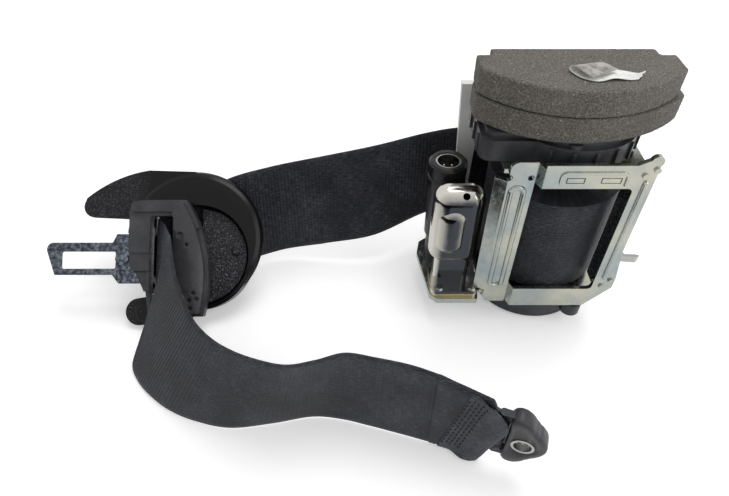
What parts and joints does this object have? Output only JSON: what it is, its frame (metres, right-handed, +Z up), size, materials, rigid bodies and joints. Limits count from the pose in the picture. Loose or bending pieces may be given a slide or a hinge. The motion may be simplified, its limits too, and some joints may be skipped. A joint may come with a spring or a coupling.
{
  "type": "seat belt retractor",
  "caption": "Seat belt retractor with stamped frame, wound webbing, lock, spring cassette, pretensioner and foam pad, with free webbing, tongue, trim bezel and end anchor.",
  "frame": {"origin": "on the spool axis, at the bottom face of the spring cassette that the part stands on", "axes": "+Z up along the spool axis, +Y from the front plate to the back plate, -X the way the webbing leaves"},
  "size_m": [0.2755, 0.1439, 0.1199],
  "materials": {
    "zinc_steel": "stamped, bright zinc plated",
    "bright_steel": "drawn or turned bright steel",
    "gold_zinc": "yellow chromated zinc",
    "brass_pins": "plated contact pins",
    "cast_alloy": "die-cast, as cast",
    "black_plastic": "fine grained black moulding",
    "gloss_black": "smooth black moulding",
    "black_steel": "black coated steel plate",
    "grey_plastic": "dark grey moulding",
    "white_plastic": "natural acetal",
    "foam": "open-cell grey foam",
    "webbing": "woven polyester webbing, ribbed across"
  },
  "bodies": {
    "retractor": {"frame": "zinc_steel", "front_plate": "zinc_steel", "pretensioner_base": "zinc_steel", "frame_rivets": "zinc_steel", "manifold_rivets": "zinc_steel", "gas_manifold": "bright_steel", "side_clip": "bright_steel", "cover_screws": "bright_steel", "connector_ring": "bright_steel", "anchor_bush": "bright_steel", "return_spring": "bright_steel", "manifold_gasket": "gold_zinc", "igniter_pins": "brass_pins", "lock_cover": "black_plastic", "generator_body": "black_plastic", "bezel_insert": "black_plastic", "anchor_cover": "black_plastic", "generator_cap": "gloss_black", "bezel": "gloss_black", "anchor_plate": "black_steel", "spring_housing": "grey_plastic", "spring_cover": "grey_plastic", "lower_bush": "grey_plastic", "upper_bush": "grey_plastic", "sensor_housing": "grey_plastic", "webbing_guide": "white_plastic", "foam_lower": "foam", "foam_upper": "foam", "webbing": "webbing", "webbing_end": "webbing"},
    "spool": {"spool": "cast_alloy", "torsion_bar": "bright_steel", "webbing_roll": "webbing", "lock_base": "cast_alloy", "spring_arbor": "white_plastic", "disc_retainer": "bright_steel"},
    "pawl": {"lock_pawl": "bright_steel"},
    "disc": {"control_disc": "white_plastic"},
    "rotor": {"drive_rotor": "bright_steel", "clutch_rollers": "bright_steel"},
    "ball": {"sensor_ball": "bright_steel"},
    "lever": {"sensor_lever": "white_plastic"},
    "tongue": {"tongue_blade": "bright_steel", "tongue_body": "black_plastic"}
  },
  "joints": [
    {"name": "spool_turn", "type": "hinge", "parent": "retractor", "child": "spool", "pos_m": [0, 0, 0.04], "axis": [0, 0, 1], "continuous": true},
    {"name": "pawl_swing", "type": "hinge", "parent": "spool", "child": "pawl", "pos_m": [0.0113, -0.0065, 0.086], "axis": [0, 0, -1], "range_deg": [0, 8.2], "stiffness_Nm_per_rad": 0.01},
    {"name": "disc_turn", "type": "hinge", "parent": "spool", "child": "disc", "pos_m": [0, 0, 0.088], "axis": [0, 0, -1], "range_deg": [0, 11.5]},
    {"name": "rotor_turn", "type": "hinge", "parent": "retractor", "child": "rotor", "pos_m": [0, 0, 0.014], "axis": [0, 0, 1], "range_deg": [0, 280]},
    {"name": "ball_slide", "type": "slide", "parent": "retractor", "child": "ball", "axis": [0, 1, 0], "range_m": [0, 0.0008]},
    {"name": "lever_swing", "type": "hinge", "parent": "retractor", "child": "lever", "pos_m": [-0.029, 0.0021, 0.095], "axis": [1, 0, 0], "range_deg": [0, 13.6]},
    {"name": "tongue_slide", "type": "slide", "parent": "retractor", "child": "tongue", "axis": [0, -0.6561, 0.7547], "range_m": [0, 0.002]}
  ],
  "couplings": [
    {"joint": "disc_turn", "follows": "pawl_swing", "ratio": 1.4},
    {"joint": "lever_swing", "follows": "ball_slide", "rad_per_m": 290}
  ]
}
